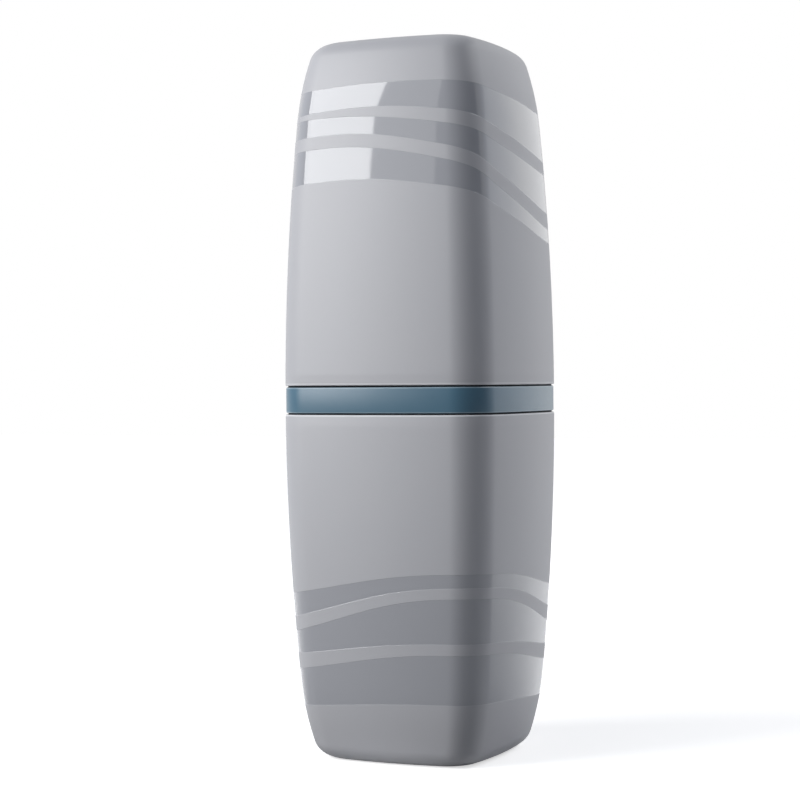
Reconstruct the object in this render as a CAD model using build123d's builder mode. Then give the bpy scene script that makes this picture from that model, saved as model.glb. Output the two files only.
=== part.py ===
"""A toothbrush travel cup: two tall square cups, the ring that joins them and a partition inside.

Millimetres. The origin is the middle of the base, +Z is up and the front face looks along -Y.
"""

import os
from math import asin, cos, pi, sin, sqrt

from build123d import *

# The case's outer form
lower_cup_height = 100.2
upper_cup_height = 99.5
band_height = 7.5
rim_gap = 0.4           # the dark line between the band and each rim
mid_half_width = 34.45  # at the middle of a face, half way up
side_bow = 3.1          # how far a face's middle stands out past its corners
corner_radius = 11.9
side_radius = 970.0     # each side is a long arc,
shoulder_rise = 81.0    # which ends this far above the case's middle,
shoulder_radius = 96.0  # then a tighter arc,
end_radius = 6.6        # then the rounding into the flat end
sections_per_arc = 6    # evenly spaced sections that each arc's form is lofted through

# The cups
wall = 2.0
rim_round = 0.35
foot_width = 3.0        # the ring that the case stands on, round a shallow recess
foot_depth = 0.6
foot_round = 0.5

# The ring
band_inset = 0.2        # the band lies this far inside the cups' outer faces
band_round = 0.45
seat_width = 0.8        # the part of each rim that rests on the ring's seat
spigot_height = 12.0
spigot_clearance = 0.3
spigot_wall = 1.8
spigot_round = 0.6

# The seals
groove_depth = 0.9
groove_height = 2.2
groove_margin = 4.4     # from the spigot's end to the groove
seal_clearance = 0.1    # in the groove
seal_gap = 0.2          # between the resting seal and the cup's wall
seal_round = 0.3

# The partition
divider_height = 64.0
divider_wall = 1.6
divider_clearance = 0.4  # from the cup's rounded end, where the partition stands
bore_clearance = 1.9     # from the ring's bore, which it is lifted out through
divider_round = 0.6
post_radius = 3.4
post_rise = 9.0
post_round = 1.4
root_round = 1.2        # where the walls meet the post

# Worked out from the sizes above
height = lower_cup_height + band_height + upper_cup_height + 2 * rim_gap
middle = height / 2
lower_rim = lower_cup_height
upper_rim = height - upper_cup_height
band_bottom = lower_rim + rim_gap
band_top = upper_rim - rim_gap
seal_height = groove_height - seal_clearance

# The side's lean, in radians from upright, where one arc hands over to the next
side_turn = asin(shoulder_rise / side_radius)
shoulder_turn = asin(
    (middle - end_radius - shoulder_rise + shoulder_radius * sin(side_turn)) / (shoulder_radius - end_radius)
)
flat_turn = pi / 2
arcs = [(side_radius, side_turn), (shoulder_radius, shoulder_turn), (end_radius, flat_turn)]


def profile_point(turn):
    """Half-width, and distance from the case's middle, where the side leans in by an angle."""
    reach, rise, start = mid_half_width, 0.0, 0.0
    for radius, end in arcs:
        stop = max(start, min(turn, end))
        reach -= radius * (cos(start) - cos(stop))
        rise += radius * (sin(stop) - sin(start))
        start = stop
    return reach, rise


def half_width_at(level):
    """Half-width of the case at a level on its long side arcs."""
    return profile_point(asin(abs(level - middle) / side_radius))[0]


def bowed_square(level, half_width, inset=0.0):
    """A square with bowed sides and round corners, all in the case's proportions, less an inset."""
    scale = half_width / mid_half_width
    bow = side_bow * scale
    arc_radius = ((half_width - bow) ** 2 + bow**2) / (2 * bow)
    arc_centre = half_width - arc_radius
    reach = half_width - inset
    corner = (arc_centre + sqrt(2 * (arc_radius - inset) ** 2 - arc_centre**2)) / 2
    corners = [(corner, -corner), (corner, corner), (-corner, corner), (-corner, -corner)]
    face_middles = [(reach, 0), (0, reach), (-reach, 0), (0, -reach)]
    with BuildSketch(Plane.XY.offset(level)) as square:
        with BuildLine():
            for side in range(4):
                ThreePointArc(corners[side], face_middles[side], corners[(side + 1) % 4])
        make_face()
        fillet(square.vertices(), radius=corner_radius * scale - inset)
    return square.sketch


def case_end(depth, inset=0.0):
    """One end of the case, flat end at Z = 0, up to a depth, and moved in by an inset all over."""
    first_turn = asin((middle - depth) / side_radius)
    starts = [first_turn, side_turn, shoulder_turn]
    with BuildPart() as end:
        for (_, end_turn), start_turn in zip(arcs, starts):
            for step in range(sections_per_arc):
                turn = start_turn + (end_turn - start_turn) * step / (sections_per_arc - 1)
                reach, rise = profile_point(turn)
                level = middle - rise + inset * sin(turn)
                add(bowed_square(level, reach, inset * cos(turn)))
            loft()
    return end.part


def band_solid(bottom, top, inset):
    """An upright block with the case's section at the rims, moved in by an inset."""
    with BuildPart() as block:
        add(bowed_square(bottom, half_width_at(lower_rim), inset))
        extrude(amount=top - bottom)
    return block.part


def cup(cup_height):
    """A cup standing on its base at Z = 0: a thin wall, rounded at the rim, over a shallow recess."""
    with BuildPart() as shell:
        add(case_end(cup_height))
        add(case_end(middle, wall), mode=Mode.SUBTRACT)
        fillet(shell.faces().sort_by(Axis.Z)[-1].edges(), radius=rim_round)
        add(bowed_square(0, profile_point(flat_turn)[0], foot_width))
        extrude(amount=foot_depth, mode=Mode.SUBTRACT)
        foot = shell.faces().filter_by(Axis.Z).sort_by(Axis.Z)[0]
        fillet(foot.inner_wires()[0].edges(), radius=foot_round)
    return shell.part


# Lower cup
with BuildPart() as lower_cup:
    add(cup(lower_cup_height))
lower_cup.part.label = "lower_cup"

# Upper cup, the same form turned over
with BuildPart() as upper_cup:
    with Locations(Location((0, 0, height), (180, 0, 0))):
        add(cup(upper_cup_height))
upper_cup.part.label = "upper_cup"

# Joining ring: a band between the rims, a seat for each rim, and a spigot into each cup.
# The spigots' size comes from the cup's inside at their far ends, where it is narrowest.
spigot_bottom = lower_rim - spigot_height
spigot_top = upper_rim + spigot_height
narrowest = min(half_width_at(spigot_bottom), half_width_at(spigot_top))
spigot_inset = half_width_at(lower_rim) - narrowest + wall + spigot_clearance
bore_inset = spigot_inset + spigot_wall
seat_inset = wall - seat_width
lower_groove = spigot_bottom + groove_margin
upper_groove = spigot_top - groove_margin - groove_height

with BuildPart() as joining_ring:
    add(band_solid(band_bottom, band_top, band_inset))
    band_edges = joining_ring.faces().filter_by(Axis.Z).edges()
    fillet(band_edges, radius=band_round)
    add(band_solid(lower_rim, upper_rim, seat_inset))
    add(band_solid(spigot_bottom, spigot_top, spigot_inset))
    spigot_ends = joining_ring.faces().filter_by(Axis.Z).sort_by(Axis.Z)
    fillet(spigot_ends[0].edges() + spigot_ends[-1].edges(), radius=spigot_round)
    add(band_solid(spigot_bottom, spigot_top, bore_inset), mode=Mode.SUBTRACT)
    for groove_bottom in (lower_groove, upper_groove):
        groove_top = groove_bottom + groove_height
        with BuildPart(mode=Mode.PRIVATE) as groove:
            add(band_solid(groove_bottom, groove_top, spigot_inset - groove_depth))
            add(band_solid(groove_bottom, groove_top, spigot_inset + groove_depth), mode=Mode.SUBTRACT)
        add(groove.part, mode=Mode.SUBTRACT)
joining_ring.part.label = "joining_ring"


def seal(bottom):
    """A soft loop that rests on its groove's lower face and stands out of the spigot."""
    narrow = min(half_width_at(bottom), half_width_at(bottom + seal_height))
    outer_inset = half_width_at(lower_rim) - narrow + wall + seal_gap
    with BuildPart() as loop:
        add(band_solid(bottom, bottom + seal_height, outer_inset))
        fillet(loop.faces().filter_by(Axis.Z).edges(), radius=seal_round)
        inner_inset = spigot_inset + groove_depth - seal_clearance
        add(band_solid(bottom, bottom + seal_height, inner_inset), mode=Mode.SUBTRACT)
    return loop.part


# Seals, one in each spigot's groove
with BuildPart() as lower_seal:
    add(seal(lower_groove))
lower_seal.part.label = "lower_seal"

with BuildPart() as upper_seal:
    add(seal(upper_groove))
upper_seal.part.label = "upper_seal"

# Partition: two crossed walls round a lifting post, inside the lower cup's form and the ring's bore
divider_top = wall + divider_height
bore_half_width = half_width_at(lower_rim) - bore_inset
divider_half_width = bore_half_width - bore_clearance

with BuildPart() as brush_divider:
    with BuildSketch() as crossed_walls:
        Rectangle(2 * divider_half_width, divider_wall)
        Rectangle(divider_wall, 2 * divider_half_width)
        Circle(post_radius)
        wall_roots = crossed_walls.vertices().group_by(SortBy.DISTANCE)[0]
        fillet(wall_roots, radius=root_round)
    extrude(amount=divider_top)
    with Locations((0, 0, -divider_clearance)):
        add(case_end(middle, wall + divider_clearance), mode=Mode.INTERSECT)
    fillet(brush_divider.faces().sort_by(Axis.Z)[-1].edges(), radius=divider_round)
    with BuildSketch(Plane.XY.offset(divider_top - divider_round)):
        Circle(post_radius)
    extrude(amount=divider_round + post_rise)
    fillet(brush_divider.faces().sort_by(Axis.Z)[-1].edges(), radius=post_round)
brush_divider.part.label = "brush_divider"

os.makedirs("parts", exist_ok=True)
for piece in (lower_cup, upper_cup, joining_ring, lower_seal, upper_seal, brush_divider):
    export_step(piece.part, f"parts/{piece.part.label}.step")
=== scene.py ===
"""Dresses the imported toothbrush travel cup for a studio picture.

Metres. The frame's origin is the middle of the base, +Z is up and the front face looks along -Y.
The cups, the ring and the seals are modelled anew around the same form as the solids, with smooth
faces, and the partition keeps its own solid. Every finish is worked out by its shader's nodes.
"""

import logging
from collections.abc import Callable
from dataclasses import dataclass
from enum import Enum
from math import asin, atan2, cos, pi, radians, sin, sqrt

import bmesh
import bpy
from mathutils import Matrix, Vector


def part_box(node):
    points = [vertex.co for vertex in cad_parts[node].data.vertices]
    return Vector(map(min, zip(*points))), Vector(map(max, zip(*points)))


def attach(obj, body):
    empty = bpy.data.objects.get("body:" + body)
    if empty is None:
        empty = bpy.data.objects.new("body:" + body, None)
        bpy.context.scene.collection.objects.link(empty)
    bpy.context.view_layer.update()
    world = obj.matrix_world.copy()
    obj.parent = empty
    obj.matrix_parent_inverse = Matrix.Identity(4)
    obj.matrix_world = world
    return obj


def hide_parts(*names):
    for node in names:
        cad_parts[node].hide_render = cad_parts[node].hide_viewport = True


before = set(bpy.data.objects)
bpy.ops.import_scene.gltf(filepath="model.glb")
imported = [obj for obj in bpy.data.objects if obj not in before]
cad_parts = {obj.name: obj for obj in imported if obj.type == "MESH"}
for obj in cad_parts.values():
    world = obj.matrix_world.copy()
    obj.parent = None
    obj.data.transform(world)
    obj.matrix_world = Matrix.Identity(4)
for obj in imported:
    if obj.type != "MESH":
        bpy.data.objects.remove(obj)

log = logging.getLogger("travel_cup")

MM = 0.001
CLOSE = 0.01 * MM   # nearer than this, two places count as one
DRIFT = 5 * CLOSE   # how far a wall's thickness may carry its rim from its level
FLAT_ABOVE = 0.5    # a face counts as flat where its normal's Z is over this, and else as upright
SENSOR = 36.0       # the camera's sensor, in mm

# How finely the round forms are stepped
SIDE_STEPS = 9              # half a side
CORNER_STEPS = 20
RING_STEPS = (22, 10, 18)   # a cup's side, its shoulder and its end rounding

# The waves of the polished bands
NEAR_STEP = 0.135           # how far the step at the near corner carries an edge, as a share of its swing
NEAR_SHARPNESS = 6.0
NEAR_TURN = radians(128)    # puts the step at that corner
VALLEY_SOFTNESS = 0.01      # keeps the arches from meeting in a point

Colour = tuple[float, float, float]
Paint = Colour | bpy.types.NodeSocket
Element = bmesh.types.BMVert | bmesh.types.BMEdge | bmesh.types.BMFace
WHITE: Colour = (1.0, 1.0, 1.0)


class End(Enum):
    """The end of the case that a cup closes, as the direction from its rim to its base."""

    BOTTOM = -1
    TOP = 1


class Kind(Enum):
    """What is selected on a mesh, as the name of its select mode and of the mesh's list."""

    POINTS = ("VERT", "verts")
    EDGES = ("EDGE", "edges")
    FACES = ("FACE", "faces")


# Modelling


@dataclass(frozen=True)
class Turn:
    """One arc of an outline seen from above.

    Attributes:
        centre: The arc's centre, in X and Y.
        angle: How far it turns, anticlockwise, in radians.
        steps: The straight steps that it is made of.
    """

    centre: tuple[float, float]
    angle: float
    steps: int


@dataclass(frozen=True)
class Corner:
    """One corner of a loop's upright section.

    Attributes:
        inset: How far it lies inside the case's outer face.
        level: Its height.
        rounding: The radius of its round edge, or 0 for a sharp one.
    """

    inset: float
    level: float
    rounding: float = 0.0


class Bench:
    """One piece on the bench, shaped in edit mode from a single point."""

    def __init__(self, name: str, start: Vector) -> None:
        """Starts a piece.

        Args:
            name: The piece's name.
            start: Where its first point lies.
        """
        bpy.ops.object.select_all(action="DESELECT")
        bpy.ops.mesh.primitive_plane_add(size=MM, location=start)
        self.piece: bpy.types.Object = bpy.context.object
        self.piece.name = name
        self.piece.data.name = name
        bpy.ops.object.transform_apply(location=True, rotation=True, scale=True)
        bpy.ops.object.mode_set(mode="EDIT")
        bpy.ops.mesh.select_mode(type="VERT")
        bpy.ops.mesh.merge(type="CENTER")

    def select_all(self) -> None:
        """Selects the whole mesh."""
        bpy.ops.mesh.select_all(action="SELECT")

    def select(self, kind: Kind, wanted: Callable[[Element], bool]) -> None:
        """Selects the points, edges or faces that a test accepts.

        Args:
            kind: Which of them.
            wanted: The test, given each one.
        """
        mode, listed = kind.value
        bpy.ops.mesh.select_all(action="DESELECT")
        bpy.ops.mesh.select_mode(type=mode)
        shape = bmesh.from_edit_mesh(self.piece.data)
        for element in getattr(shape, listed):
            if wanted(element):
                element.select_set(True)
        bmesh.update_edit_mesh(self.piece.data)

    def extrude(self, step: Vector, growth: float = 1.0) -> None:
        """Extrudes what is selected, and scales the new points about the case's axis.

        Args:
            step: The way to the new points.
            growth: Their scale in X and Y.
        """
        bpy.ops.mesh.extrude_region_move(TRANSFORM_OT_translate={"value": step})
        if growth != 1.0:
            bpy.ops.transform.resize(value=(growth, growth, 1.0), center_override=(0.0, 0.0, 0.0))

    def spin(self, turns: list[Turn]) -> None:
        """Sweeps what is selected round a closed outline, and joins its two ends.

        Args:
            turns: The outline's arcs in order.
        """
        # Seen from above, Blender spins clockwise for a positive angle
        for turn in turns:
            bpy.ops.mesh.spin(
                steps=turn.steps, angle=-turn.angle, center=(*turn.centre, 0.0), axis=(0.0, 0.0, 1.0)
            )
        self.select_all()
        bpy.ops.mesh.remove_doubles(threshold=CLOSE)

    def face_out(self) -> None:
        """Turns every face outwards."""
        self.select_all()
        bpy.ops.mesh.normals_make_consistent(inside=False)

    def bevel(self, radius: float, steps: int, kind: Kind = Kind.EDGES) -> None:
        """Rounds the selected edges or points.

        Args:
            radius: The rounding's radius.
            steps: The steps that it is made of.
            kind: Which of them.
        """
        affect = "VERTICES" if kind is Kind.POINTS else "EDGES"
        bpy.ops.mesh.bevel(
            offset=radius, offset_type="OFFSET", segments=steps, affect=affect, clamp_overlap=False
        )

    def give_wall(self, thickness: float) -> None:
        """Makes a closed wall of the open shell, inwards from its faces.

        Args:
            thickness: The wall's thickness.
        """
        bpy.ops.object.mode_set(mode="OBJECT")
        wall = self.piece.modifiers.new("Wall", "SOLIDIFY")
        wall.thickness = thickness
        wall.offset = -1.0
        wall.use_even_offset = True
        wall.use_rim = True
        bpy.ops.object.modifier_apply(modifier=wall.name)
        bpy.ops.object.mode_set(mode="EDIT")

    def done(self, sharp_above: float = radians(32)) -> bpy.types.Object:
        """Leaves edit mode and shades the piece.

        Args:
            sharp_above: Edges that turn more than this stay sharp.

        Returns:
            The finished piece.
        """
        bpy.ops.object.mode_set(mode="OBJECT")
        bpy.ops.object.shade_smooth_by_angle(angle=sharp_above)
        return self.piece


@dataclass(frozen=True)
class CaseForm:
    """The case's outer form: a square with bowed sides and round corners, narrower towards each end.

    Attributes:
        height: The case's full height.
        mid_half_width: Half its width, half way up.
        side_bow: How far a face's middle stands out past its corners.
        corner_radius: The radius between two faces.
        side_radius: Each side is a long arc of this radius,
        shoulder_rise: which ends this far above the case's middle,
        shoulder_radius: then a tighter arc,
        end_radius: then the rounding into the flat end.
    """

    height: float
    mid_half_width: float = 34.45 * MM
    side_bow: float = 3.1 * MM
    corner_radius: float = 11.9 * MM
    side_radius: float = 970.0 * MM
    shoulder_rise: float = 81.0 * MM
    shoulder_radius: float = 96.0 * MM
    end_radius: float = 6.6 * MM

    @property
    def middle(self) -> float:
        """The level half way up."""
        return self.height / 2

    @property
    def arcs(self) -> list[tuple[float, float]]:
        """Each arc's radius, and the side's lean where it ends, from the middle to the flat end."""
        side_lean = asin(self.shoulder_rise / self.side_radius)
        left = self.middle - self.end_radius - self.shoulder_rise + self.shoulder_radius * sin(side_lean)
        shoulder_lean = asin(left / (self.shoulder_radius - self.end_radius))
        return [
            (self.side_radius, side_lean),
            (self.shoulder_radius, shoulder_lean),
            (self.end_radius, pi / 2),
        ]

    def profile_point(self, lean: float) -> tuple[float, float]:
        """Finds the profile's point where the side leans in by an angle.

        Args:
            lean: The angle from upright, in radians.

        Returns:
            The half-width there, and its distance from the case's middle.
        """
        reach, rise, start = self.mid_half_width, 0.0, 0.0
        for radius, end in self.arcs:
            stop = max(start, min(lean, end))
            reach -= radius * (cos(start) - cos(stop))
            rise += radius * (sin(stop) - sin(start))
            start = stop
        return reach, rise

    def half_width(self, level: float) -> float:
        """Finds the half-width at a level of the long side arcs.

        Args:
            level: The height above the base.

        Returns:
            The half-width there.
        """
        return self.profile_point(asin(abs(level - self.middle) / self.side_radius))[0]

    def leans(self, first_level: float, steps: tuple[int, int, int]) -> list[float]:
        """Spaces the leans of a cup's rings, from its rim to the flat end.

        Args:
            first_level: The rim's height.
            steps: The rings on the side, the shoulder and the end rounding.

        Returns:
            The lean of each ring after the rim.
        """
        start = asin(abs(first_level - self.middle) / self.side_radius)
        found = []
        for (_, end), count in zip(self.arcs, steps):
            found += [start + (end - start) * (step + 1) / count for step in range(count)]
            start = end
        return found

    def outline(self, half_width: float) -> list[Turn]:
        """Describes the section as arcs, from the middle of the right side all the way round.

        Args:
            half_width: The section's half-width.

        Returns:
            The arcs. Points inside the section's face follow the same centres.
        """
        scale = half_width / self.mid_half_width
        bow = self.side_bow * scale
        side_radius = ((half_width - bow) ** 2 + bow**2) / (2 * bow)
        side_centre = half_width - side_radius
        reach = side_radius - self.corner_radius * scale
        corner_centre = (side_centre + sqrt(2 * reach**2 - side_centre**2)) / 2
        half_side = atan2(corner_centre, corner_centre - side_centre)
        turns = []
        for quarter in range(4):
            turned = Matrix.Rotation(quarter * pi / 2, 2)
            following = Matrix.Rotation((quarter + 1) * pi / 2, 2)
            this_side = tuple(turned @ Vector((side_centre, 0.0)))
            corner = tuple(turned @ Vector((corner_centre, corner_centre)))
            next_side = tuple(following @ Vector((side_centre, 0.0)))
            turns += [
                Turn(this_side, half_side, SIDE_STEPS),
                Turn(corner, pi / 2 - 2 * half_side, CORNER_STEPS),
                Turn(next_side, half_side, SIDE_STEPS),
            ]
        return turns


# Shader arithmetic


class Value:
    """A number that changes over a surface, with the arithmetic that a formula needs."""

    def __init__(self, shader: "Shader", socket: bpy.types.NodeSocket) -> None:
        """Wraps an output.

        Args:
            shader: The shader that the socket belongs to.
            socket: The output that gives the number.
        """
        self.shader = shader
        self.socket = socket

    def _math(self, operation: str, *values: "Value | float", clamped: bool = False) -> "Value":
        """Adds a Math node.

        Args:
            operation: The node's operation.
            values: What goes into it.
            clamped: Whether its result is kept between 0 and 1.

        Returns:
            Its result.
        """
        settings = {"operation": operation, "use_clamp": clamped}
        node = self.shader.node("ShaderNodeMath", settings, dict(enumerate(values)))
        return Value(self.shader, node.outputs[0])

    def __add__(self, other: "Value | float") -> "Value":
        """Adds."""
        return self._math("ADD", self, other)

    __radd__ = __add__

    def __sub__(self, other: "Value | float") -> "Value":
        """Subtracts."""
        return self._math("SUBTRACT", self, other)

    def __rsub__(self, other: float) -> "Value":
        """Subtracts this from a number."""
        return self._math("SUBTRACT", other, self)

    def __mul__(self, other: "Value | float") -> "Value":
        """Multiplies."""
        return self._math("MULTIPLY", self, other)

    __rmul__ = __mul__

    def __truediv__(self, other: "Value | float") -> "Value":
        """Divides."""
        return self._math("DIVIDE", self, other)

    def clamp(self) -> "Value":
        """Keeps the number between 0 and 1."""
        return self._math("ADD", self, 0.0, clamped=True)

    def __abs__(self) -> "Value":
        """Gives the size of the number."""
        return self._math("ABSOLUTE", self)

    def root(self) -> "Value":
        """Gives the square root."""
        return self._math("SQRT", self)

    def cosine(self) -> "Value":
        """Gives the cosine."""
        return self._math("COSINE", self)

    def tanh(self) -> "Value":
        """Gives the hyperbolic tangent, a smooth step from -1 to 1."""
        return self._math("TANH", self)

    def angle_of(self, other: "Value") -> "Value":
        """Gives the angle whose tangent is this over another.

        Args:
            other: The other value.

        Returns:
            The angle, in radians.
        """
        return self._math("ARCTAN2", self, other)


class Shader:
    """The nodes of one material, or of the room."""

    def __init__(self, owner: bpy.types.Material | bpy.types.World) -> None:
        """Starts with no nodes.

        Args:
            owner: The material or the room.
        """
        owner.use_nodes = True
        self.owner = owner
        self.tree = owner.node_tree
        self.tree.nodes.clear()

    @classmethod
    def for_material(cls, name: str) -> "Shader":
        """Starts a new material's nodes.

        Args:
            name: The material's name.

        Returns:
            Its shader.
        """
        return cls(bpy.data.materials.new(name))

    def node(
        self,
        kind: str,
        settings: dict[str, object] | None = None,
        inputs: dict[str | int, object] | None = None,
    ) -> bpy.types.Node:
        """Adds a node.

        Args:
            kind: The node's type.
            settings: Its properties.
            inputs: What goes into its sockets: a Value, an output, a number, a colour or a vector.

        Returns:
            The node.
        """
        made = self.tree.nodes.new(kind)
        for name, setting in (settings or {}).items():
            setattr(made, name, setting)
        for key, given in (inputs or {}).items():
            source = given.socket if isinstance(given, Value) else given
            if isinstance(source, bpy.types.NodeSocket):
                self.tree.links.new(source, made.inputs[key])
            elif made.inputs[key].type == "RGBA":
                made.inputs[key].default_value = (*source, 1.0)
            else:
                made.inputs[key].default_value = source
        return made

    def place(self) -> tuple[bpy.types.NodeSocket, Value, Value, Value]:
        """Reads the object coordinates.

        Returns:
            The place as a vector, and its X, Y and Z.
        """
        where = self.node("ShaderNodeTexCoord").outputs["Object"]
        parts = self.node("ShaderNodeSeparateXYZ", inputs={"Vector": where}).outputs
        return where, Value(self, parts["X"]), Value(self, parts["Y"]), Value(self, parts["Z"])

    def outside(self, depth: float) -> Value:
        """Marks the faces that don't look towards the case's axis.

        Args:
            depth: How far from the axis the inner faces lie, or less.

        Returns:
            1 there and 0 on the inner faces.
        """
        source = self.node("ShaderNodeTexCoord").outputs
        flattening = {0: source["Object"], 1: (1, 1, 0)}
        sideways = self.node("ShaderNodeVectorMath", {"operation": "MULTIPLY"}, flattening).outputs[0]
        comparing = {0: sideways, 1: source["Normal"]}
        outward = self.node("ShaderNodeVectorMath", {"operation": "DOT_PRODUCT"}, comparing).outputs["Value"]
        return (Value(self, outward) / depth + 1).clamp()

    def noise(self, where: bpy.types.NodeSocket, size: float, detail: float = 2.0) -> Value:
        """Adds soft noise.

        Args:
            where: The place that it reads.
            size: The size of its spots.
            detail: How many finer layers it has.

        Returns:
            The noise, about 0.5 on average.
        """
        inputs = {"Vector": where, "Scale": 1.0 / size, "Detail": detail}
        return Value(self, self.node("ShaderNodeTexNoise", inputs=inputs).outputs["Fac"])

    def mix(self, share: Value, first: Paint, second: Paint) -> bpy.types.NodeSocket:
        """Mixes two colours.

        Args:
            share: 0 for the first, 1 for the second.
            first: A colour, or an output that gives one.
            second: Another.

        Returns:
            The mixed colour.
        """
        node = self.node("ShaderNodeMix", {"data_type": "RGBA"}, {0: share, 6: first, 7: second})
        return node.outputs[2]

    def within(self, value: Value, low: float, high: float, softness: float) -> Value:
        """Marks where a value lies between two numbers.

        Args:
            value: The value.
            low: The lower number.
            high: The upper number.
            softness: The width of the mark's soft edges.

        Returns:
            1 between the two and 0 elsewhere.
        """
        return ((value - low) / softness + 0.5).clamp() * ((high - value) / softness + 0.5).clamp()

    def bump(self, height: Value, depth: float) -> bpy.types.NodeSocket:
        """Makes a relief.

        Args:
            height: The relief, as a share of the depth.
            depth: The depth.

        Returns:
            The turned normals.
        """
        return self.node("ShaderNodeBump", inputs={"Height": height, "Distance": depth}).outputs["Normal"]

    def finish(self, inputs: dict[str | int, object]) -> bpy.types.Material:
        """Ends the material in one plastic or rubber surface.

        Args:
            inputs: The surface's sockets.

        Returns:
            The material.
        """
        surface = self.node("ShaderNodeBsdfPrincipled", inputs=inputs)
        self.node("ShaderNodeOutputMaterial", inputs={"Surface": surface.outputs[0]})
        return self.owner


# Finishes


@dataclass(frozen=True)
class Edge:
    """One edge of a polished band, at level + swing * wave round the case.

    Attributes:
        level: Its mean height above the case's middle.
        swing: How far the wave carries it.
        turn: How far the wave is turned round the case, clockwise from above, in radians.
    """

    level: float
    swing: float
    turn: float


@dataclass(frozen=True)
class Band:
    """A polished band between two waving edges."""

    top: Edge
    bottom: Edge


class Wave(Enum):
    """How a cup's bands rise and fall round the case."""

    SWEEP = "one rise and fall round the case, with a step at the near corner"
    ARCHES = "two arches round the case, which meet in soft valleys"

    def around(self, angle: Value, turn: float) -> Value:
        """Works out the wave.

        Args:
            angle: The angle round the case's axis, in radians.
            turn: How far the wave is turned, clockwise from above, in radians.

        Returns:
            The wave, from about -1 or 0 to 1.
        """
        if self is Wave.SWEEP:
            step = (NEAR_SHARPNESS * (angle + NEAR_TURN).cosine()).tanh()
            return (angle + turn).cosine() + NEAR_STEP * step
        return (0.5 * (2.0 * angle + 2 * turn).cosine() + (0.5 + VALLEY_SOFTNESS)).root()


@dataclass(frozen=True)
class CupPlastic:
    """Grey moulded plastic: a fine spark texture, with bands polished smooth and a painted highlight along
    the rim.

    Attributes:
        wave: The bands' wave.
        bands: The bands, from the top down.
        middle: The level that their heights are taken from.
        rim: The level of the cup's rim, whose edge carries a painted highlight.
        rim_highlight_colour: The painted highlight's colour.
        rim_highlight_line: Where the painted highlight starts and ends, from the rim.
        lip_height: The height of the lip at the rim, which lies a hair deeper than the side.
        lip_depth: How much deeper.
        lip_slope: The height over which the lip runs out into the side.
        matt_colour: The matt surface's colour,
        cloudy_colour: which runs into this one in faint clouds,
        cloud_size: of this size.
        polished_colour: The bands' colour.
        matt_roughness: The matt surface's roughness.
        polished_roughness: The bands' roughness.
        roughness_spread: How much the clouds change both.
        refraction: The plastic's index of refraction.
        edge_softness: The width of the bands' soft edges.
        step: How far the matt surface stands out past the bands.
        grain_size: The size of its grain.
        grain_depth: How deep the grain is.
        inner_reach: Less than how far the cup's inner faces lie from the case's axis.
    """

    wave: Wave
    bands: tuple[Band, ...]
    middle: float
    rim: float
    rim_highlight_colour: Colour = (0.66, 0.67, 0.69)
    rim_highlight_line: tuple[float, float] = (0.12 * MM, 0.42 * MM)
    lip_height: float = 2.5 * MM
    lip_depth: float = 0.05 * MM
    lip_slope: float = 1.4 * MM
    matt_colour: Colour = (0.40, 0.405, 0.43)
    cloudy_colour: Colour = (0.415, 0.417, 0.437)
    cloud_size: float = 18 * MM
    polished_colour: Colour = (0.34, 0.347, 0.373)
    matt_roughness: float = 0.5
    polished_roughness: float = 0.06
    roughness_spread: float = 0.04
    refraction: float = 1.56
    edge_softness: float = 0.12 * MM
    step: float = 0.03 * MM
    grain_size: float = 0.35 * MM
    grain_depth: float = 0.004 * MM
    inner_reach: float = 20.0 * MM

    def polished(self, shader: Shader) -> Value:
        """Works out where the surface is polished.

        Args:
            shader: The material's nodes.

        Returns:
            1 on the bands, outside the cup, and 0 elsewhere.
        """
        _, x, y, z = shader.place()
        angle = y.angle_of(x)
        rise = z - self.middle
        found = 0.0
        for band in self.bands:
            found = self.above(band.bottom, rise, angle) * (1 - self.above(band.top, rise, angle)) + found
        return found * shader.outside(self.inner_reach)

    def above(self, edge: Edge, rise: Value, angle: Value) -> Value:
        """Works out where the surface lies above an edge.

        Args:
            edge: The edge.
            rise: The height above the case's middle.
            angle: The angle round the case's axis, in radians.

        Returns:
            1 above the edge and 0 below it.
        """
        wave = self.wave.around(angle, edge.turn)
        return ((rise - edge.swing * wave - edge.level) / self.edge_softness + 0.5).clamp()

    def material(self, name: str) -> bpy.types.Material:
        """Makes the finish.

        Args:
            name: The material's name.

        Returns:
            The material.
        """
        shader = Shader.for_material(name)
        polished = self.polished(shader)
        where, _, _, z = shader.place()
        grain = shader.noise(where, self.grain_size)
        cloud = shader.noise(where, self.cloud_size)
        from_rim = abs(z - self.rim)
        lip = ((from_rim - self.lip_height) * (2 / self.lip_slope)).tanh()
        relief = (grain * (self.grain_depth / self.step) + 1) * (1 - polished)
        relief = relief + lip * (self.lip_depth / self.step / 2)
        matt = shader.mix(cloud, self.matt_colour, self.cloudy_colour)
        clean = shader.mix(polished, matt, self.polished_colour)
        # Painted highlight: a thin pale line along the rim's rounding, standing in for light caught there
        rim_highlight = shader.within(from_rim, *self.rim_highlight_line, self.edge_softness)
        roughness = (self.polished_roughness - self.matt_roughness) * polished + self.matt_roughness
        return shader.finish(
            {
                "Base Color": shader.mix(rim_highlight, clean, self.rim_highlight_colour),
                "Roughness": roughness + (cloud - 0.5) * self.roughness_spread,
                "Normal": shader.bump(relief, self.step),
                "IOR": self.refraction,
            }
        )


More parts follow.
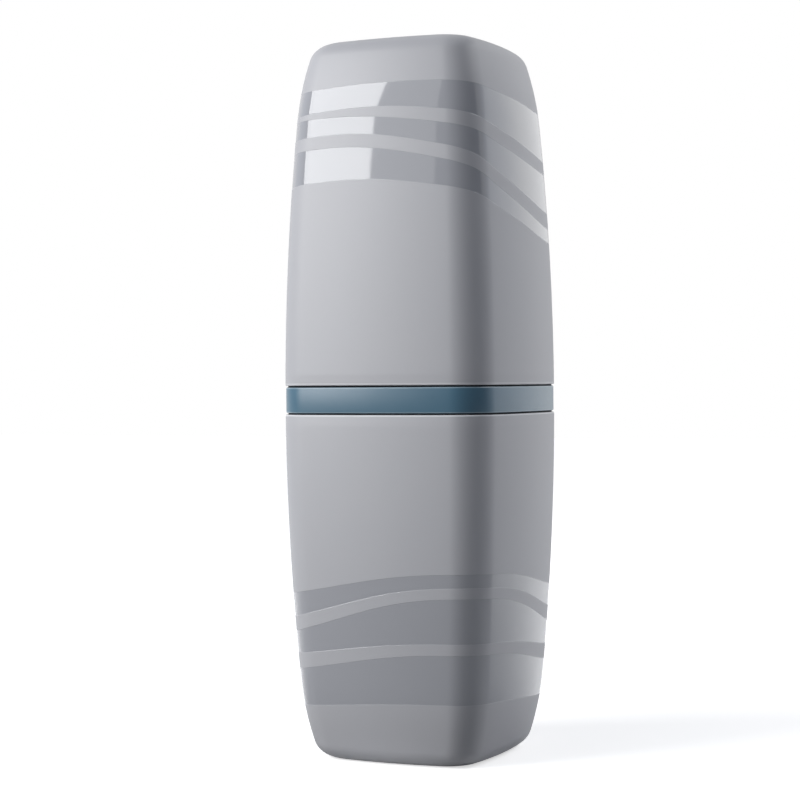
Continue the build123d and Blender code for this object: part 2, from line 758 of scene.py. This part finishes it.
@dataclass(frozen=True)
class RingPlastic:
    """Blue-grey tinted plastic with a satin shine, painted highlights along the band's edges and painted
    shade in the gaps at the rims.

    Attributes:
        middle: The level of the band's middle.
        half_height: Half the band's height.
        rim_gap: The height of the gap between the band and each rim, whose shade is painted.
        colour: The tint,
        deep_colour: which runs into this one in wide ripples.
        edge_highlight_colour: The colour of the painted highlights, thin pale lines along the band's edges.
        gap_shade_colour: The colour of the painted shade in the gap.
        gap_roughness: How much rougher than the band the gap is.
        gap_shade: How far the painted shade reaches over the band's rounding.
        bore: Less than how far the ring's inner faces lie from the case's axis.
        edge_highlight_line: Where a painted highlight starts and ends, from the band's edge.
        softness: The width of the lines' soft edges.
        roughness: The band's mean roughness.
        haze: How much a fine haze changes it.
        haze_size: The size of the haze's spots.
        ripple_size: The ripples' size.
        ripple_depth: How deep they are.
        refraction: The plastic's index of refraction.
    """

    middle: float
    half_height: float
    rim_gap: float
    colour: Colour = (0.078, 0.158, 0.22)
    deep_colour: Colour = (0.062, 0.138, 0.2)
    edge_highlight_colour: Colour = (0.21, 0.30, 0.36)
    gap_shade_colour: Colour = (0.004, 0.006, 0.01)
    gap_roughness: float = 0.5
    gap_shade: float = 0.08 * MM
    bore: float = 15 * MM
    edge_highlight_line: tuple[float, float] = (0.12 * MM, 0.4 * MM)
    softness: float = 0.08 * MM
    roughness: float = 0.33
    haze: float = 0.08
    haze_size: float = 1.2 * MM
    ripple_size: float = 9 * MM
    ripple_depth: float = 0.02 * MM
    refraction: float = 1.5

    def material(self, name: str) -> bpy.types.Material:
        """Makes the finish.

        Args:
            name: The material's name.

        Returns:
            The material.
        """
        shader = Shader.for_material(name)
        where, _, _, z = shader.place()
        ripple = shader.noise(where, self.ripple_size)
        haze = shader.noise(where, self.haze_size)
        rise = abs(z - self.middle)
        outside = shader.outside(self.bore)
        # Painted highlight: thin pale lines along the band's rounded edges, on its outer faces only
        line = shader.within(self.half_height - rise, *self.edge_highlight_line, self.softness) * outside
        # Painted shade: the gaps at the rims and a hair of the band's rounding are darkened and made rougher
        gap = shader.within(rise - self.half_height, -self.gap_shade, self.rim_gap, self.softness) * outside
        tinted = shader.mix(ripple, self.deep_colour, self.colour)
        highlighted = shader.mix(line, tinted, self.edge_highlight_colour)
        return shader.finish(
            {
                "Base Color": shader.mix(gap, highlighted, self.gap_shade_colour),
                "Roughness": (haze - 0.5) * self.haze + gap * self.gap_roughness + self.roughness,
                "Normal": shader.bump(ripple, self.ripple_depth),
                "IOR": self.refraction,
            }
        )


@dataclass(frozen=True)
class PlainFinish:
    """Plastic or rubber of one colour, with faint clouds and a fine grain.

    Attributes:
        colour: Its colour,
        cloudy_colour: which runs into this one in the clouds.
        cloud_size: The clouds' size.
        roughness: Its mean roughness.
        grain_size: The grain's size.
        grain_depth: How deep the grain is.
        roughness_spread: How much the clouds change the roughness.
    """

    colour: Colour
    cloudy_colour: Colour
    cloud_size: float
    roughness: float
    grain_size: float
    grain_depth: float
    roughness_spread: float = 0.1

    def material(self, name: str) -> bpy.types.Material:
        """Makes the finish.

        Args:
            name: The material's name.

        Returns:
            The material.
        """
        shader = Shader.for_material(name)
        where = shader.place()[0]
        grain = shader.noise(where, self.grain_size)
        cloud = shader.noise(where, self.cloud_size)
        return shader.finish(
            {
                "Base Color": shader.mix(cloud, self.colour, self.cloudy_colour),
                "Roughness": (cloud - 0.5) * self.roughness_spread + self.roughness,
                "Normal": shader.bump(grain, self.grain_depth),
            }
        )


SEAL_RUBBER = PlainFinish(
    colour=(0.25, 0.27, 0.29),
    cloudy_colour=(0.31, 0.33, 0.35),
    cloud_size=8 * MM,
    roughness=0.75,
    grain_size=0.5 * MM,
    grain_depth=0.02 * MM,
)
PARTITION_PLASTIC = PlainFinish(
    colour=(0.64, 0.65, 0.68),
    cloudy_colour=(0.68, 0.69, 0.71),
    cloud_size=14 * MM,
    roughness=0.38,
    grain_size=0.4 * MM,
    grain_depth=0.006 * MM,
)


# The object's pieces


@dataclass
class Cup:
    """One of the two cups that make the case.

    Attributes:
        form: The case's form.
        node: The solid that the cup stands for.
        body: The body that it moves with.
        end: The end of the case that it closes.
        finish: Its plastic.
        wall: The wall's thickness.
        rim_round: The radius of the rim's two edges,
        rim_steps: and their steps.
        foot_width: The width of the ring that the cup stands on, round a shallow recess.
        foot_depth: The recess's depth.
        foot_round: The radius between that ring and the recess's wall,
        foot_steps: and its steps.
    """

    form: CaseForm
    node: str
    body: str
    end: End
    finish: CupPlastic
    wall: float = 2.0 * MM
    rim_round: float = 0.35 * MM
    rim_steps: int = 5
    foot_width: float = 3.0 * MM
    foot_depth: float = 0.6 * MM
    foot_round: float = 0.5 * MM
    foot_steps: int = 4

    def build(self) -> bpy.types.Object:
        """Models the cup and dresses it.

        Returns:
            The cup.
        """
        low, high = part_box(self.node)
        rim, base = (high.z, low.z) if self.end is End.BOTTOM else (low.z, high.z)
        half_width = self.form.half_width(rim)
        bench = Bench(f"{self.node}_shell", Vector((half_width, 0.0, rim)))
        bench.spin(self.form.outline(half_width))
        self.draw_side(bench, rim, half_width)
        bpy.ops.mesh.edge_face_add()
        bench.face_out()
        bench.give_wall(self.wall)
        self.round_folds(bench, rim, self.rim_round, self.rim_steps)
        self.cut_foot(bench, base)
        self.round_folds(bench, base, self.foot_round, self.foot_steps)
        cup = bench.done()
        cup.data.materials.append(self.finish.material(f"{self.node}_plastic"))
        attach(cup, self.body)
        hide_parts(self.node)
        return cup

    def draw_side(self, bench: Bench, rim: float, half_width: float) -> None:
        """Draws the side from the rim's outline to the flat end's.

        Args:
            bench: The cup on the bench, its rim selected.
            rim: The rim's level.
            half_width: The rim's half-width.
        """
        level, reach = rim, half_width
        for lean in self.form.leans(rim, RING_STEPS):
            next_reach, rise = self.form.profile_point(lean)
            next_level = self.form.middle + self.end.value * rise
            bench.extrude(Vector((0.0, 0.0, next_level - level)), next_reach / reach)
            level, reach = next_level, next_reach

    def round_folds(self, bench: Bench, level: float, radius: float, steps: int) -> None:
        """Rounds the edges at a level that lie between a flat face and an upright one.

        Args:
            bench: The cup on the bench.
            level: The level.
            radius: The rounding's radius.
            steps: Its steps.
        """

        def is_fold(edge: bmesh.types.BMEdge) -> bool:
            """Tells whether an edge is one of them."""
            slopes = sorted(abs(face.normal.z) for face in edge.link_faces)
            near = all(abs(point.co.z - level) < DRIFT for point in edge.verts)
            return near and len(slopes) == 2 and slopes[0] < FLAT_ABOVE < slopes[1]

        bench.select(Kind.EDGES, is_fold)
        bench.bevel(radius, steps)

    def cut_foot(self, bench: Bench, base: float) -> None:
        """Sinks the shallow recess that leaves a ring for the case to stand on.

        Args:
            bench: The cup on the bench.
            base: The flat end's level.
        """

        def is_flat_end(face: bmesh.types.BMFace) -> bool:
            """Tells whether a face is the flat end."""
            return all(abs(point.co.z - base) < CLOSE for point in face.verts)

        bench.select(Kind.FACES, is_flat_end)
        bpy.ops.mesh.inset(thickness=self.foot_width, use_even_offset=True)
        bench.extrude(Vector((0.0, 0.0, -self.end.value * self.foot_depth)))
        bench.face_out()


@dataclass
class Loop:
    """A piece with one section all the way round the case: the ring, or a seal.

    Attributes:
        form: The case's form.
        name: The piece's name.
        node: The solid that it stands for.
        section_level: The level whose outline it follows.
        corners: Its section's corners in order.
        rounding_steps: The steps of each rounding.
    """

    form: CaseForm
    name: str
    node: str
    section_level: float
    corners: list[Corner]
    rounding_steps: int = 5

    def build(self, material: bpy.types.Material, slot: str) -> bpy.types.Object:
        """Models the loop and dresses it.

        Args:
            material: Its finish.
            slot: Not used.

        Returns:
            The loop.
        """
        half_width = self.form.half_width(self.section_level)
        places = [Vector((half_width - corner.inset, 0.0, corner.level)) for corner in self.corners]
        bench = Bench(self.name, places[0])
        for before, after in zip(places, places[1:]):
            bench.extrude(after - before)
        bench.select_all()
        bpy.ops.mesh.edge_face_add()
        for rounding in sorted({corner.rounding for corner in self.corners} - {0.0}):
            wanted = [place for place, corner in zip(places, self.corners) if corner.rounding == rounding]
            bench.select(
                Kind.POINTS, lambda point: any((point.co - place).length < CLOSE for place in wanted)
            )
            bench.bevel(rounding, self.rounding_steps, Kind.POINTS)
        bench.select_all()
        bpy.ops.mesh.delete(type="ONLY_FACE")
        bench.select_all()
        bench.spin(self.form.outline(half_width))
        bench.face_out()
        loop = bench.done()
        loop.data.materials.append(material)
        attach(loop, "ring")
        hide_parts(self.node)
        return loop


@dataclass
class RingAssembly:
    """The joining ring and the two seals in its grooves.

    Attributes:
        form: The case's form.
        band_inset: How far the band lies inside the cups' outer faces.
        band_round: The radius of its edges.
        rim_gap: The gap between it and each rim.
        seat_inset: How far the seat between the band and a rim lies inside the cups' outer faces.
        cup_wall: The cups' wall.
        spigot_clearance: The gap between a spigot and that wall, where it is tightest.
        spigot_wall: A spigot's wall.
        spigot_round: The radius of its end's outer edge.
        groove_depth: The depth of a seal's groove.
        groove_height: The groove's height.
        seal_clearance: The gap between a seal and its groove.
        seal_gap: The gap between a seal and the cup's wall.
        seal_round: The radius of a seal's outer edges.
    """

    form: CaseForm
    band_inset: float = 0.2 * MM
    band_round: float = 0.45 * MM
    rim_gap: float = 0.4 * MM
    seat_inset: float = 0.8 * MM
    cup_wall: float = 2.0 * MM
    spigot_clearance: float = 0.3 * MM
    spigot_wall: float = 1.8 * MM
    spigot_round: float = 0.6 * MM
    groove_depth: float = 0.9 * MM
    groove_height: float = 2.2 * MM
    seal_clearance: float = 0.1 * MM
    seal_gap: float = 0.2 * MM
    seal_round: float = 0.3 * MM

    def __post_init__(self) -> None:
        """Works out the levels from the solids, and the insets from the levels."""
        self.bottom, self.top = (corner.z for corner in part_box("joining_ring"))
        self.lower_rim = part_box("lower_cup")[1].z
        self.upper_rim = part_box("upper_cup")[0].z
        self.widest = self.form.half_width(self.lower_rim)
        narrowest = min(self.form.half_width(self.bottom), self.form.half_width(self.top))
        self.spigot_inset = self.widest - narrowest + self.cup_wall + self.spigot_clearance

    def ring_corners(self) -> list[Corner]:
        """Lists the ring's corners, up its outer side from the bore's lower edge.

        Returns:
            The corners.
        """
        seat = self.seat_inset
        bore = self.spigot_inset + self.spigot_wall
        corners = [Corner(bore, self.bottom), Corner(self.spigot_inset, self.bottom, self.spigot_round)]
        corners += self.groove_corners(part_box("lower_seal")[0].z)
        corners += [
            Corner(self.spigot_inset, self.lower_rim),
            Corner(seat, self.lower_rim),
            Corner(seat, self.lower_rim + self.rim_gap),
            Corner(self.band_inset, self.lower_rim + self.rim_gap, self.band_round),
            Corner(self.band_inset, self.upper_rim - self.rim_gap, self.band_round),
            Corner(seat, self.upper_rim - self.rim_gap),
            Corner(seat, self.upper_rim),
            Corner(self.spigot_inset, self.upper_rim),
        ]
        corners += self.groove_corners(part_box("upper_seal")[0].z)
        corners += [Corner(self.spigot_inset, self.top, self.spigot_round), Corner(bore, self.top)]
        return corners

    def groove_corners(self, level: float) -> list[Corner]:
        """Lists one groove's corners, upwards.

        Args:
            level: The groove's lower face.

        Returns:
            The corners.
        """
        deep = self.spigot_inset + self.groove_depth
        return [
            Corner(self.spigot_inset, level),
            Corner(deep, level),
            Corner(deep, level + self.groove_height),
            Corner(self.spigot_inset, level + self.groove_height),
        ]

    def seal_corners(self, node: str) -> list[Corner]:
        """Lists one seal's corners.

        Args:
            node: The seal's solid.

        Returns:
            The corners.
        """
        low, high = (corner.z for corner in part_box(node))
        narrow = min(self.form.half_width(low), self.form.half_width(high))
        outer = self.widest - narrow + self.cup_wall + self.seal_gap
        inner = self.spigot_inset + self.groove_depth - self.seal_clearance
        return [
            Corner(inner, low),
            Corner(outer, low, self.seal_round),
            Corner(outer, high, self.seal_round),
            Corner(inner, high),
        ]

    def build(self) -> list[bpy.types.Object]:
        """Models the ring and its seals.

        Returns:
            The three pieces.
        """
        middle = (self.lower_rim + self.upper_rim) / 2
        half_height = (self.upper_rim - self.lower_rim) / 2 - self.rim_gap
        tinted = RingPlastic(middle, half_height, self.rim_gap).material("tinted_plastic")
        rubber = SEAL_RUBBER.material("soft_rubber")
        ring = Loop(self.form, "joining_ring_band", "joining_ring", self.lower_rim, self.ring_corners())
        pieces = [ring.build(tinted, "ring_plastic")]
        for node in ("lower_seal", "upper_seal"):
            seal = Loop(self.form, f"{node}_loop", node, self.lower_rim, self.seal_corners(node))
            pieces.append(seal.build(rubber, "seal_rubber"))
        return pieces


@dataclass
class Partition:
    """The partition, which keeps its own solid."""

    node: str = "brush_divider"

    def dress(self) -> bpy.types.Object:
        """Gives the partition its plastic.

        Returns:
            The partition.
        """
        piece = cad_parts[self.node]
        piece.data.materials.clear()
        piece.data.materials.append(PARTITION_PLASTIC.material("satin_plastic"))
        return piece


# Studio


def direction(way: float, height: float) -> Vector:
    """Works out a direction from the case.

    Args:
        way: Its way round, in degrees from the front towards the right side.
        height: Its height above the horizon, in degrees.

    Returns:
        The direction, as a vector of length 1.
    """
    around, up = radians(way), radians(height)
    return Vector((sin(around) * cos(up), -cos(around) * cos(up), sin(up)))


@dataclass(frozen=True)
class Softbox:
    """A rectangular soft light that faces the case.

    Attributes:
        name: The light's name.
        azimuth: The way to it from the case, in degrees from the front towards the right side.
        elevation: Its height above the horizon, in degrees.
        distance: How far away it is.
        width: Its width.
        height: Its height.
        radiance: How bright its face is, where white paper in plain light is 1.
    """

    name: str
    azimuth: float
    elevation: float
    distance: float
    width: float
    height: float
    radiance: float

    def hang(self, target: Vector) -> None:
        """Puts the light in the studio.

        Args:
            target: What it faces.
        """
        light = bpy.data.lights.new(self.name, "AREA")
        light.shape = "RECTANGLE"
        light.size = self.width
        light.size_y = self.height
        light.energy = self.radiance * pi * self.width * self.height
        lamp = bpy.data.objects.new(self.name, light)
        lamp.visible_camera = False
        away = direction(self.azimuth, self.elevation)
        lamp.location = target + self.distance * away
        lamp.rotation_euler = away.to_track_quat("Z", "Y").to_euler()
        bpy.context.scene.collection.objects.link(lamp)


@dataclass(frozen=True)
class Viewpoint:
    """Where the picture is taken from.

    Attributes:
        yaw: The way to the camera from the case, in degrees from the front towards the right side.
        pitch: Its height above the horizon, in degrees.
        roll: How far it is turned about its own line of sight, in degrees.
        distance: How far it is from the case's middle.
        lens: Its focal length in millimetres, over a sensor 36 mm wide.
        shift_x: The frame's move to the right, as a share of its width.
        shift_y: The frame's move up, as a share of its width.
    """

    yaw: float = 24.3
    pitch: float = 0.59
    roll: float = -0.38
    distance: float = 0.6219
    lens: float = 94.5
    shift_x: float = -0.0277
    shift_y: float = 0.0002

    def set_up(self, target: Vector) -> None:
        """Puts the camera in place.

        Args:
            target: The case's middle.
        """
        turn = radians(self.roll)
        back = direction(self.yaw, self.pitch)
        right = Vector((0.0, 0.0, 1.0)).cross(back).normalized()
        above = back.cross(right)
        camera = bpy.data.cameras.new("camera")
        camera.lens = self.lens
        camera.sensor_width = SENSOR
        camera.shift_x = self.shift_x
        camera.shift_y = self.shift_y
        holder = bpy.data.objects.new("camera", camera)
        columns = (cos(turn) * right + sin(turn) * above, cos(turn) * above - sin(turn) * right, back)
        turned = Matrix(columns).transposed().to_4x4()
        holder.matrix_world = Matrix.Translation(target + self.distance * back) @ turned
        bpy.context.scene.collection.objects.link(holder)
        bpy.context.scene.camera = holder


@dataclass
class Studio:
    """The lights, the pale floor and the white background.

    Attributes:
        middle: The case's middle.
        view: Where the picture is taken from. The backdrop is straight behind the case from there.
        ambient: The brightness of the room.
        floor_size: The floor's width.
        floor_depth: How far it lies below the case's base.
        shadow_reach: How far from the case's axis its shadow is seen.
        shadow_glow: How bright the floor glows at the axis, where its shadow is deepest.
        dim_paper: The floor's colour where it throws little light at the case.
        pale_paper: Its colour where it throws the most, and where the camera sees it.
        bounce_way: The way to that part of the floor, in degrees from the front towards the right side.
        patch_reach: How far from the case's axis a pale patch of floor starts to fade.
        patch_share: How pale the patch is, between the dim paper's 0 and the pale paper's 1.
        room_colour: The room's tint.
    """

    middle: Vector
    view: Viewpoint = Viewpoint()
    ambient: float = 0.09
    floor_size: float = 6.0
    floor_depth: float = 0.05 * MM
    shadow_reach: float = 0.4
    shadow_glow: float = 0.6
    dim_paper: Colour = (0.1, 0.1, 0.1)
    pale_paper: Colour = (0.8, 0.8, 0.8)
    bounce_way: float = 130.0
    patch_reach: float = 24.0 * MM
    patch_share: float = 0.8
    room_colour: Colour = (0.5, 0.65, 1.0)

    def build(self) -> None:
        """Sets up the whole studio."""
        softboxes = (
            Softbox("key_softbox", -43.5, 22.0, distance=0.95, width=0.57, height=0.75, radiance=7.3),
            Softbox("front_panel", -28.0, 20.0, distance=0.5, width=0.35, height=0.4, radiance=1.33),
            Softbox("side_strip", 118.0, 42.0, distance=1.0, width=0.6, height=0.25, radiance=5.5),
            Softbox("rear_panel", 140.0, 22.0, distance=1.0, width=1.5, height=1.1, radiance=0.7),
        )
        for softbox in softboxes:
            softbox.hang(self.middle)
        self.light_room()
        self.lay_floor()
        self.view.set_up(self.middle)
        bpy.context.scene.view_settings.view_transform = "Standard"

    def light_room(self) -> None:
        """Makes the room dim, and white where it is the background."""
        room = bpy.data.worlds.new("room")
        shader = Shader(room)
        looking = shader.node("ShaderNodeTexCoord").outputs["Generated"]
        parts = shader.node("ShaderNodeSeparateXYZ", inputs={"Vector": looking}).outputs
        seen = self.background_share(shader, Value(shader, parts["X"]), Value(shader, parts["Y"]))
        strength = (1 - self.ambient) * seen + self.ambient
        tint = shader.mix(seen, self.room_colour, WHITE)
        light = shader.node("ShaderNodeBackground", inputs={"Color": tint, "Strength": strength})
        shader.node("ShaderNodeOutputWorld", inputs={"Surface": light.outputs[0]})
        bpy.context.scene.world = room

    def towards(self, way: float, x: Value, y: Value) -> Value:
        """Tells how far a place, or a direction, lies one way from the case.

        Args:
            way: The way, in degrees from the front towards the right side.
            x: How far the place, or the direction, lies to the right.
            y: How far back it lies.

        Returns:
            1 up to 45 degrees from that way, and 0 from 90 degrees on.
        """
        around = radians(way)
        along = x * sin(around) - y * cos(around)
        return (sqrt(2) * along / (x * x + y * y).root()).clamp()

    def background_share(self, shader: Shader, x: Value, y: Value) -> Value:
        """Tells where the camera, or a reflection of the backdrop behind the case, sees the background.

        Args:
            shader: The nodes to add to.
            x: How far a place, or a direction, lies to the right.
            y: How far back it lies.

        Returns:
            1 where the background is seen and 0 elsewhere.
        """
        behind = self.towards(self.view.yaw + 180.0, x, y)
        path = shader.node("ShaderNodeLightPath").outputs
        return (behind * Value(shader, path["Is Glossy Ray"]) + Value(shader, path["Is Camera Ray"])).clamp()

    def lay_floor(self) -> None:
        """Lays a floor that the camera sees as white, with the case's soft shadow."""
        bpy.ops.object.select_all(action="DESELECT")
        bpy.ops.mesh.primitive_plane_add(size=self.floor_size, location=(0.0, 0.0, -self.floor_depth))
        floor = bpy.context.object
        floor.name = "floor"
        shader = Shader.for_material("floor_paper")
        _, x, y, _ = shader.place()
        distance_squared = x * x + y * y
        patch = (1.5 - 0.5 * distance_squared / self.patch_reach**2).clamp()
        bounce = (self.towards(self.bounce_way, x, y) + self.patch_share * patch).clamp()
        tone = shader.mix(bounce, self.dim_paper, self.pale_paper)
        dim = shader.node("ShaderNodeBsdfDiffuse", inputs={"Color": tone})
        pale = shader.node("ShaderNodeBsdfDiffuse", inputs={"Color": self.pale_paper})
        far = (distance_squared / self.shadow_reach**2).clamp()
        mirrored = Value(shader, shader.node("ShaderNodeLightPath").outputs["Is Glossy Ray"])
        strength = (far * (1 - self.shadow_glow) + mirrored + self.shadow_glow).clamp()
        glow = shader.node("ShaderNodeEmission", inputs={"Color": WHITE, "Strength": strength})
        white = shader.node("ShaderNodeAddShader", inputs={0: pale.outputs[0], 1: glow.outputs[0]})
        seen = self.background_share(shader, x, y)
        chosen = shader.node("ShaderNodeMixShader", inputs={0: seen, 1: dim.outputs[0], 2: white.outputs[0]})
        shader.node("ShaderNodeOutputMaterial", inputs={"Surface": chosen.outputs[0]})
        floor.data.materials.append(shader.owner)


def wave_edge(level: float, swing: float, turn: float) -> Edge:
    """Makes one edge of a band.

    Args:
        level: Its mean height above the case's middle, in mm.
        swing: How far the wave carries it, in mm.
        turn: How far the wave is turned round the case, in degrees.

    Returns:
        The edge.
    """
    return Edge(level * MM, swing * MM, radians(turn))


def main() -> None:
    """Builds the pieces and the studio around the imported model."""
    logging.basicConfig(level=logging.INFO, format="%(name)s: %(message)s")
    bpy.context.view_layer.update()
    form = CaseForm(height=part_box("upper_cup")[1].z)
    upper_bands = (
        Band(wave_edge(86.8, 3.0, 80.0), wave_edge(76.0, 6.5, 96.0)),
        Band(wave_edge(73.5, 6.6, 113.0), wave_edge(64.9, 9.8, 111.0)),
        Band(wave_edge(60.7, 10.2, 112.0), wave_edge(53.7, 8.1, 104.0)),
    )
    lower_bands = (
        Band(wave_edge(-56.3, 7.9, 49.0), wave_edge(-63.3, 11.1, 48.0)),
        Band(wave_edge(-67.8, 12.5, 48.5), wave_edge(-73.6, 5.6, 51.0)),
        Band(wave_edge(-78.4, 7.2, 51.0), wave_edge(-88.5, 3.2, 53.5)),
    )
    upper_plastic = CupPlastic(
        Wave.SWEEP,
        upper_bands,
        form.middle,
        rim=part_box("upper_cup")[0].z,
        # The upper cup's painted rim highlight is dimmer and wider
        rim_highlight_colour=(0.52, 0.525, 0.545),
        rim_highlight_line=(0.12 * MM, 0.7 * MM),
    )
    lower_plastic = CupPlastic(Wave.ARCHES, lower_bands, form.middle, rim=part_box("lower_cup")[1].z)
    pieces = [
        Cup(form, "lower_cup", "lower", End.BOTTOM, lower_plastic).build(),
        Cup(form, "upper_cup", "upper", End.TOP, upper_plastic).build(),
        *RingAssembly(form).build(),
        Partition().dress(),
    ]
    for piece in pieces:
        log.info("%s has %d faces", piece.name, len(piece.data.polygons))
    Studio(Vector((0.0, 0.0, form.middle))).build()


if __name__ == "__main__":
    main()
